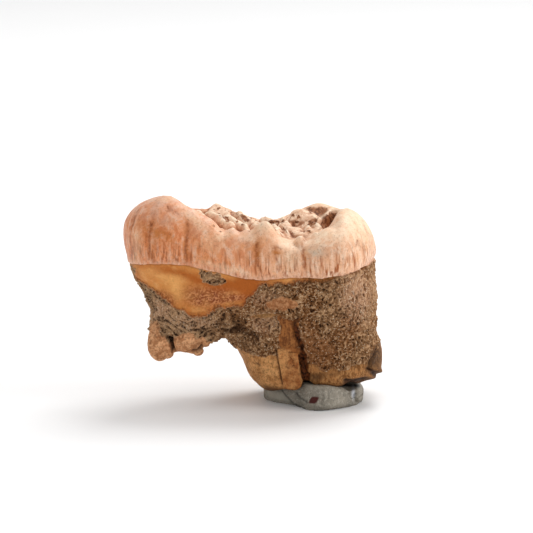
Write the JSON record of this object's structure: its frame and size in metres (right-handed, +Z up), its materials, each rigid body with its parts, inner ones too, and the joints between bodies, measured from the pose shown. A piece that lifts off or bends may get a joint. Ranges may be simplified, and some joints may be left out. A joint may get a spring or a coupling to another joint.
{
  "type": "fossil cave bear molar",
  "caption": "Fossil cave bear molar with a bulging enamel crown, crumpled chewing surface and broken roots, standing on a lump of grey putty.",
  "frame": {"origin": "centre of the object's bounding box in X and Y, at the underside of the putty", "axes": "+X along the tooth, from its broken left root to its broad right root; +Y from the pictured side to the far side; +Z up, towards the chewing surface"},
  "size_m": [0.0323, 0.0184, 0.0262],
  "materials": {
    "tooth": "satin",
    "putty": "matte"
  },
  "bodies": {
    "root": {"molar": "tooth", "putty_pad": "putty"}
  },
  "joints": []
}
